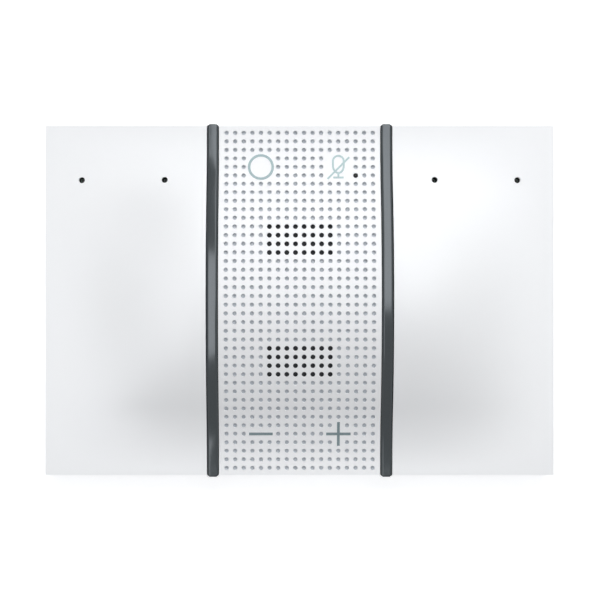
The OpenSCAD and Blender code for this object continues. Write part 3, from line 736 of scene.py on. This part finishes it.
capsule = [(icon_x + x, icon_y + (2.1 * mm + y if y >= 0 else 0.5 * mm + y * 1.38))
           for x, y in whole_circle(0, 0, 1.88 * mm, 48)]
stem_top, stem_foot = icon_y - 2.2 * mm, icon_y - 3.7 * mm
pale = (inlay_plastic("pale_teal_polycarbonate", ("7F999C", "88A1A4")), 0.88 * mm, "icon_pale")
faint = (inlay_plastic("faint_teal_polycarbonate", ("93AEB0", "9BB5B7")), 0.66 * mm, "icon_pale")
slate = (inlay_plastic("slate_polycarbonate", ("667A7E", "6E8286")), 0.95 * mm, "icon_slate")
icons = [
    ("call_ring", "call_ring_inlay", pale, [
        (whole_circle(-icon_x, icon_y, 4.1 * mm, 72), True)]),
    ("muted_microphone", "mute_icon_inlay", faint, [
        (capsule, True),
        (straight((icon_x, stem_top), (icon_x, stem_foot), 4), False),
        (straight((icon_x - 1.8 * mm, stem_foot), (icon_x + 1.8 * mm, stem_foot), 4), False),
        (straight((icon_x - 3.8 * mm, icon_y - 4.2 * mm),
                  (icon_x + 3.8 * mm, icon_y + 3.5 * mm), 16), False)]),
    ("minus_sign", "volume_down_inlay", slate, [
        (straight((-icon_x - 4.1 * mm, -icon_y), (-icon_x + 4.1 * mm, -icon_y)), False)]),
    ("plus_sign", "volume_up_inlay", slate, [
        (straight((icon_x - 4.25 * mm, -icon_y), (icon_x + 4.25 * mm, -icon_y)), False),
        (straight((icon_x, -icon_y - 4.2 * mm), (icon_x, -icon_y + 4.2 * mm), 16), False)])]
for icon_name, node_name, (plastic, width, slot_name), lines in icons:
    bm = bmesh.new()
    for points, closed in lines:
        stroke(bm, points, closed, width)
    bmesh.ops.recalc_face_normals(bm, faces=bm.faces)
    icon = new_piece(icon_name, bm, plastic)
    smooth(icon, 30)
    stand_for(icon, node_name)


# ---- Indicator ----
# A smoked polycarbonate light pipe sunk in one hole of the grid beside the right rail, with a
# small white-bodied diode under it. Its domed top sits a little below the panel.

def grained(name, tones, grain, roughness, bump, ior=1.5, metallic=0.0):
    """A finish with one visible grain: two close tones, a slightly uneven gloss, and a relief
    at the grain's real size."""
    material, tree, where = new_material(name)
    grains = add(tree, "ShaderNodeTexNoise", None,
                 {"Vector": where, "Scale": 1 / grain, "Detail": 3.0, "Roughness": 0.55})
    tone = add(tree, "ShaderNodeMix", {"data_type": "RGBA"},
               {0: grains.outputs["Fac"], 6: colour(tones[0]), 7: colour(tones[1])})
    gloss = add(tree, "ShaderNodeMapRange", None,
                {"Value": grains.outputs["Fac"], "To Min": roughness - 0.04,
                 "To Max": roughness + 0.04})
    relief = add(tree, "ShaderNodeBump", None,
                 {"Height": grains.outputs["Fac"], "Strength": bump, "Distance": grain * 0.25})
    return finish_material(material, {
        "Base Color": tone.outputs[2], "Roughness": gloss.outputs[0],
        "Normal": relief.outputs[0], "IOR": ior, "Metallic": metallic})


def dress(material, *names):
    """Gives CAD nodes their finish and leaves their shape alone."""
    for name in names:
        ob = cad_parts[name]
        if not ob.material_slots:
            ob.data.materials.append(material)
        for material_slot in ob.material_slots:
            material_slot.material = material


smoked_lens = grained("smoked_polycarbonate", ("08090A", "0D0E10"), 0.4 * mm, 0.35, 0.03, 1.3)
pipe_radius, dome_rise = 0.72, 0.25      # in mm
pipe_top = edge_top + swell(lens_y) - 0.75 * mm
pipe_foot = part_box("status_lens")[0].z + 0.05 * mm
pipe_rings = [(pipe_radius, pipe_foot), (pipe_radius, pipe_top)]
pipe_rings += [(pipe_radius * math.cos(math.radians(a)),
                pipe_top + dome_rise * math.sin(math.radians(a)) * mm) for a in (20, 40, 60, 78)]
bm = bmesh.new()
loops = [[bm.verts.new((x, y, level)) for x, y in whole_circle(lens_x, lens_y, r * mm, 24)]
         for r, level in pipe_rings]
skin(bm, loops)
bm.faces.new(loops[0][::-1])
bm.faces.new(loops[-1])
bmesh.ops.recalc_face_normals(bm, faces=bm.faces)
light_pipe = new_piece("light_pipe", bm, smoked_lens)
smooth(light_pipe, 40)
stand_for(light_pipe, "status_lens")
dress(grained("diode_ceramic", ("E6E2CF", "EDEADB"), 0.3 * mm, 0.45, 0.03), "status_led")


# ---- Touch films ----
# Amber polyimide films, glued under the grille behind each pair of icons, with copper fingers
# etched on them, and a tail of the same film down to a board.

wave_length = 0.314                      # metres from wave to wave in a wave texture of scale 1


def etched_film():
    """Polyimide film: clear amber gloss over etched copper fingers on a 1.5 mm pitch."""
    material, tree, where = new_material("amber_polyimide")
    fingers = add(tree, "ShaderNodeTexWave", {"bands_direction": "X"},
                  {"Vector": where, "Scale": wave_length / (1.5 * mm)})
    edge = add(tree, "ShaderNodeMath", {"operation": "GREATER_THAN"},
               {0: fingers.outputs["Fac"], 1: 0.55})
    tone = add(tree, "ShaderNodeMix", {"data_type": "RGBA"},
               {0: edge.outputs[0], 6: colour("C0781C"), 7: colour("8E4A12")})
    relief = add(tree, "ShaderNodeBump", None,
                 {"Height": edge.outputs[0], "Strength": 0.3, "Distance": 0.03 * mm})
    return finish_material(material, {
        "Base Color": tone.outputs[2], "Roughness": 0.22, "IOR": 1.7,
        "Normal": relief.outputs[0]})


dress(etched_film(), "rear_touch_film", "front_touch_film", "rear_touch_tail", "front_touch_tail")


# ---- Loudspeakers ----
# Two slim racetrack drivers under the open holes: stamped steel basket, plated pot magnet,
# rubber surround, grey polypropylene diaphragm and copper voice coil, behind charcoal cloth.

def rounded_copy(node, name, material, width, segments=2, body="chassis"):
    """The CAD shape as one closed moulding with rounded edges."""
    bm = bmesh.new()
    bm.from_mesh(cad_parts[node].data)
    bmesh.ops.remove_doubles(bm, verts=bm.verts, dist=0.001 * mm)
    bmesh.ops.dissolve_limit(bm, angle_limit=math.radians(1), verts=bm.verts, edges=bm.edges)
    ob = new_piece(name, bm, material)
    for left_over in ("custom_normal", "sharp_face", "sharp_edge"):
        if left_over in ob.data.attributes:
            ob.data.attributes.remove(ob.data.attributes[left_over])
    soften(ob, width, segments, angle=35)
    stand_for(ob, node, body)


def woven_cloth():
    """Plain-woven polyester, acoustically open: charcoal threads 0.2 mm apart, drawn at 0.4 mm
    so that the weave shows, each thread domed."""
    material, tree, where = new_material("charcoal_speaker_cloth")
    warp, weft = (add(tree, "ShaderNodeTexWave", {"bands_direction": direction},
                      {"Vector": where, "Scale": wave_length / (0.4 * mm)})
                  for direction in ("X", "Y"))
    weave = add(tree, "ShaderNodeMath", {"operation": "MAXIMUM"},
                {0: warp.outputs["Fac"], 1: weft.outputs["Fac"]})
    tone = add(tree, "ShaderNodeMix", {"data_type": "RGBA"},
               {0: weave.outputs[0], 6: colour("2A2B2C"), 7: colour("47494C")})
    relief = add(tree, "ShaderNodeBump", None,
                 {"Height": weave.outputs[0], "Strength": 0.5, "Distance": 0.08 * mm})
    return finish_material(material, {
        "Base Color": tone.outputs[2], "Roughness": 0.95, "IOR": 1.3,
        "Normal": relief.outputs[0]})


def wires_laid_close(name, axis, spacing, tones, bump, depth, surface):
    """Round wires side by side: one wave of tone and relief to each wire, across one axis, the
    tone darker in the grooves and lighter on the crowns.
    """
    material, tree, where = new_material(name)
    wires = add(tree, "ShaderNodeTexWave", {"bands_direction": axis},
                {"Vector": where, "Scale": wave_length / spacing})
    tone = add(tree, "ShaderNodeMix", {"data_type": "RGBA"},
               {0: wires.outputs["Fac"], 6: colour(tones[0]), 7: colour(tones[1])})
    relief = add(tree, "ShaderNodeBump", None,
                 {"Height": wires.outputs["Fac"], "Strength": bump, "Distance": depth})
    return finish_material(material, {
        "Base Color": tone.outputs[2], "Normal": relief.outputs[0], **surface})


def half_round(middle, radius, rise, base, step):
    """A half round of a profile, from its outer side to its inner one, in mm."""
    return [(middle + radius * math.cos(math.radians(a)), base + rise * math.sin(math.radians(a)))
            for a in range(0, 181, step)]


surround_half_length = 7 * mm            # half of the straight stretch of the racetrack
surround_ledge = -5 * mm                 # the basket's ledge, from the swell's surface


def rubber_surround(name, side, material):
    """A flat outer lip on the basket, a half roll, and an inner lip on the diaphragm. Returns
    the piece with each point's reach: 0 on the basket, 1 on the diaphragm."""
    thick, roll_middle, outer_edge, inner_edge = 0.3, 6.93, 8.5, 5.4
    profile = [(outer_edge, 0.0), (outer_edge, thick), (7.5, thick)]
    profile += half_round(roll_middle, 0.5, 0.7, thick, 20)
    profile += [(6.35, thick), (inner_edge, thick), (inner_edge, 0.0), (6.5, 0.0)]
    profile += half_round(roll_middle, -0.3, 0.7, 0.0, 30)
    tilt = math.asin(speaker_row / crown_radius)
    shape, loops, reach = bmesh.new(), [], []
    for k in range(64):
        a = 2 * math.pi * (k + 0.5) / 64
        loop = []
        for out, level in profile:
            x = math.copysign(surround_half_length, math.cos(a)) + out * mm * math.cos(a)
            y, z = out * mm * math.sin(a), surround_ledge + level * mm
            loop.append(shape.verts.new((
                x, side * (speaker_row + y * math.cos(tilt) + z * math.sin(tilt)),
                edge_top + swell(speaker_row) - y * math.sin(tilt) + z * math.cos(tilt))))
            reach.append(min(max((7.45 - out) / (7.45 - 6.4), 0), 1))
        loops.append(loop)
    skin(shape, loops + loops[:1])
    bmesh.ops.recalc_face_normals(shape, faces=shape.faces)
    ob = new_piece(name, shape, material)
    smooth(ob, 40)
    return ob, reach


def follow_by_reach(ob, reach):
    """Stands the points in a line in the order of their reach, bakes the piece's placement into
    them, and then puts them back in their places."""
    places = [v.co.copy() for v in ob.data.vertices]
    for v, share in zip(ob.data.vertices, reach):
        v.co = (0.0, 0.0, share)
    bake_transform(ob)
    for v, place in zip(ob.data.vertices, places):
        v.co = place


speaker_cloth = woven_cloth()
cell_foam = grained("grey_gasket_foam", ("26272A", "3A3B3E"), 0.5 * mm, 0.9, 0.6, 1.4)
black_steel = grained("black_coated_steel", ("151618", "1E1F22"), 0.4 * mm, 0.42, 0.15)
plated_pot = grained("nickel_plated_steel", ("9EA0A3", "ABADB0"), 0.8 * mm, 0.24, 0.03,
                     metallic=1.0)
surround_rubber = grained("butyl_rubber", ("0C0C0D", "131314"), 0.3 * mm, 0.55, 0.08, 1.52)
grey_cone = grained("grey_polypropylene", ("4B4E53", "5B5E63"), 0.6 * mm, 0.5, 0.2, 1.49)
# enamelled wire 0.12 mm thick, wound on a former and drawn at 0.35 mm: dark red-brown painted
# # shade between the wires and a bright copper painted highlight on each wire's crown
copper_coil = wires_laid_close("enamelled_copper_winding", "Z", 0.35 * mm, ("5E2A12", "C4703A"),
                               0.5, 0.06 * mm, {"Metallic": 1.0, "Roughness": 0.32})
dark_plastic = grained("black_glass_filled_abs", ("16181A", "1E2022"), 0.4 * mm, 0.6, 0.25)
rounded_copy("speaker_chamber", "sealed_chamber", dark_plastic, 0.3 * mm)
for end, side in (("rear", 1), ("front", -1)):
    dress(speaker_cloth, end + "_speaker_cloth")
    dress(cell_foam, end + "_speaker_gasket")
    rounded_copy(end + "_driver_basket", end + "_stamped_basket", black_steel,
                 0.15 * mm)
    rounded_copy(end + "_driver_magnet", end + "_magnet_pot", plated_pot,
                 0.2 * mm)
    roll, reach = rubber_surround(end + "_rubber_roll", side, surround_rubber)
    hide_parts(end + "_driver_surround")
    follow_by_reach(roll, reach)
    rounded_copy(end + "_driver_cone", end + "_diaphragm_disc", grey_cone,
                 0.08 * mm, body=end + "_diaphragm")
    dress(copper_coil, end + "_voice_coil")


# ---- Circuit boards ----
# Green glass-fibre boards with black chips: the main board under the right wing, the connector
# board at the back, and a narrow microphone board in each wing. A tinned shield covers the radio.

def board_finish(name, chip_level):
    """Green solder mask over copper tracks. Above the board's face the parts are black moulded
    epoxy."""
    material, tree, where = new_material(name)
    tracks = add(tree, "ShaderNodeTexVoronoi", {"distance": "CHEBYCHEV"},
                 {"Vector": where, "Scale": 1 / (2.4 * mm)})
    line = add(tree, "ShaderNodeMath", {"operation": "GREATER_THAN"},
               {0: tracks.outputs["Distance"], 1: 0.46})
    mask = add(tree, "ShaderNodeMix", {"data_type": "RGBA"},
               {0: line.outputs[0], 6: colour("0E5A33"), 7: colour("2A8052")})
    height = add(tree, "ShaderNodeSeparateXYZ", None, {0: where})
    is_chip = add(tree, "ShaderNodeMath", {"operation": "GREATER_THAN"},
                  {0: height.outputs[2], 1: chip_level})
    tone = add(tree, "ShaderNodeMix", {"data_type": "RGBA"},
               {0: is_chip.outputs[0], 6: mask.outputs[2], 7: colour("17181A")})
    relief = add(tree, "ShaderNodeBump", None,
                 {"Height": line.outputs[0], "Strength": 0.25, "Distance": 0.04 * mm})
    return finish_material(material, {
        "Base Color": tone.outputs[2], "Roughness": 0.36, "IOR": 1.52,
        "Normal": relief.outputs[0]})


board_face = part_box("left_mic_board")[1].z
dress(board_finish("green_circuit_board", board_face + 0.05 * mm), "main_board", "io_board",
      "left_mic_board", "right_mic_board")
tinned_steel = grained("tinned_steel", ("B4B6B8", "C2C4C6"), 1.5 * mm, 0.3, 0.05, metallic=1.0)
rounded_copy("board_shield", "radio_shield", tinned_steel, 0.12 * mm)


# ---- Connector ----
# A USB-C receptacle in deep-drawn tinned steel, sunk in the connector board's edge, with a
# black tongue. It opens through the back face of the centre panel.

tongue_half_width, tongue_half_thickness = 3.4 * mm, 0.4 * mm


def receptacle_finish():
    """Tinned steel shell with a black nylon tongue at its middle height."""
    material, tree, where = new_material("receptacle_shell_and_tongue")
    from_middle = add(tree, "ShaderNodeVectorMath", {"operation": "SUBTRACT"},
                      {0: where, 1: (0.0, 0.0, port_z)})
    away = add(tree, "ShaderNodeVectorMath", {"operation": "ABSOLUTE"}, {0: from_middle.outputs[0]})
    axes = add(tree, "ShaderNodeSeparateXYZ", None, {0: away.outputs[0]})
    in_height = add(tree, "ShaderNodeMath", {"operation": "LESS_THAN"},
                    {0: axes.outputs[2], 1: tongue_half_thickness})
    in_width = add(tree, "ShaderNodeMath", {"operation": "LESS_THAN"},
                   {0: axes.outputs[0], 1: tongue_half_width})
    tongue = add(tree, "ShaderNodeMath", {"operation": "MULTIPLY"},
                 {0: in_height.outputs[0], 1: in_width.outputs[0]})
    draw = add(tree, "ShaderNodeTexNoise", None,
               {"Vector": where, "Scale": 1 / (0.6 * mm), "Detail": 2.0})
    shine = add(tree, "ShaderNodeMix", {"data_type": "RGBA"},
                {0: draw.outputs["Fac"], 6: colour("ACAEB1"), 7: colour("C2C4C7")})
    tone = add(tree, "ShaderNodeMix", {"data_type": "RGBA"},
               {0: tongue.outputs[0], 6: shine.outputs[2], 7: colour("121314")})
    metal = add(tree, "ShaderNodeMath", {"operation": "SUBTRACT"}, {0: 1.0, 1: tongue.outputs[0]})
    return finish_material(material, {
        "Base Color": tone.outputs[2], "Metallic": metal.outputs[0], "Roughness": 0.3})


rounded_copy("usb_c_receptacle", "data_socket", receptacle_finish(), 0.06 * mm)


# ---- Microphones ----
# Four capsules with gold-flashed lids on the underside of their boards. A black rubber boot
# over each joins its port to the hole in the cover.

def capsule_finish():
    """Gold-flashed lid with a fine draw mark. The face against the board is its black laminate,
    with the sound port in it, and is what shows down the hole in the cover."""
    material, tree, where = new_material("microphone_lid_and_laminate")
    height = add(tree, "ShaderNodeSeparateXYZ", None, {0: where})
    laminate = add(tree, "ShaderNodeMath", {"operation": "GREATER_THAN"},
                   {0: height.outputs[2], 1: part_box("mic_capsules")[1].z - 0.2 * mm})
    draw = add(tree, "ShaderNodeTexNoise", None,
               {"Vector": where, "Scale": 1 / (0.5 * mm), "Detail": 2.0})
    gold = add(tree, "ShaderNodeMix", {"data_type": "RGBA"},
               {0: draw.outputs["Fac"], 6: colour("B8913F"), 7: colour("CBA552")})
    tone = add(tree, "ShaderNodeMix", {"data_type": "RGBA"},
               {0: laminate.outputs[0], 6: gold.outputs[2], 7: colour("08090A")})
    metal = add(tree, "ShaderNodeMath", {"operation": "SUBTRACT"}, {0: 1.0, 1: laminate.outputs[0]})
    return finish_material(material, {
        "Base Color": tone.outputs[2], "Metallic": metal.outputs[0], "Roughness": 0.35})


dress(capsule_finish(), "mic_capsules")
dress(grained("black_silicone_rubber", ("101011", "19191A"), 0.4 * mm, 0.6, 0.1, 1.41),
      "left_mic_boots", "right_mic_boots")


# ---- Battery, pad and ribbons ----
# A lithium polymer pouch under the left wing on a strip of white foam, and flat white ribbons
# # between the boards: polyester over conductors every 0.5 mm, with faint grey lines in the grooves
# between them.

rounded_copy("battery_pack", "pouch_cell",
             grained("pouch_laminate", ("A9ACAF", "BCBFC2"), 6 * mm, 0.34, 0.25, metallic=0.8),
             0.6 * mm, segments=3)
dress(grained("white_foam_tape", ("DADAD6", "E8E8E4"), 0.6 * mm, 0.9, 0.5, 1.4), "battery_pad")
dress(wires_laid_close("white_flat_cable", "Y", 0.5 * mm, ("BFC3C6", "ECEEEE"), 0.2, 0.03 * mm,
                       {"Roughness": 0.4, "IOR": 1.57}),
      "io_ribbon", "left_mic_ribbon", "right_mic_ribbon")


# ---- Base and feet ----
# A pale grey ABS tray, spark-textured underneath, closes the case from below. Four soft
# rubber discs are pressed into shallow seats near its corners.

base_abs = grained("grey_textured_abs", ("C6C8CA", "CFD1D3"), 0.45 * mm, 0.55, 0.3, 1.53)
foot_rubber = grained("black_foot_rubber", ("161617", "202022"), 0.5 * mm, 0.72, 0.25, 1.52)
rounded_copy("base_plate", "base_tray_moulding", base_abs, 0.3 * mm)
for place in ("front_left", "front_right", "rear_left", "rear_right"):
    rounded_copy("foot_" + place, "rubber_disc_" + place, foot_rubber,
                 0.35 * mm, segments=3)


# ---- Screws ----
# Zinc-plated steel pan heads with a hexagon socket, pale blue-grey and satin: twelve hold the
# covers, four the rails, four the chamber, and the rest the boards.

zinc = grained("zinc_plated_steel", ("A4A8AC", "B8BBBF"), 0.7 * mm, 0.33, 0.06, metallic=1.0)
for holds in ("case", "rail", "chamber", "board", "mic_board"):
    rounded_copy(holds + "_screws", holds + "_screw_set", zinc, 0.1 * mm)
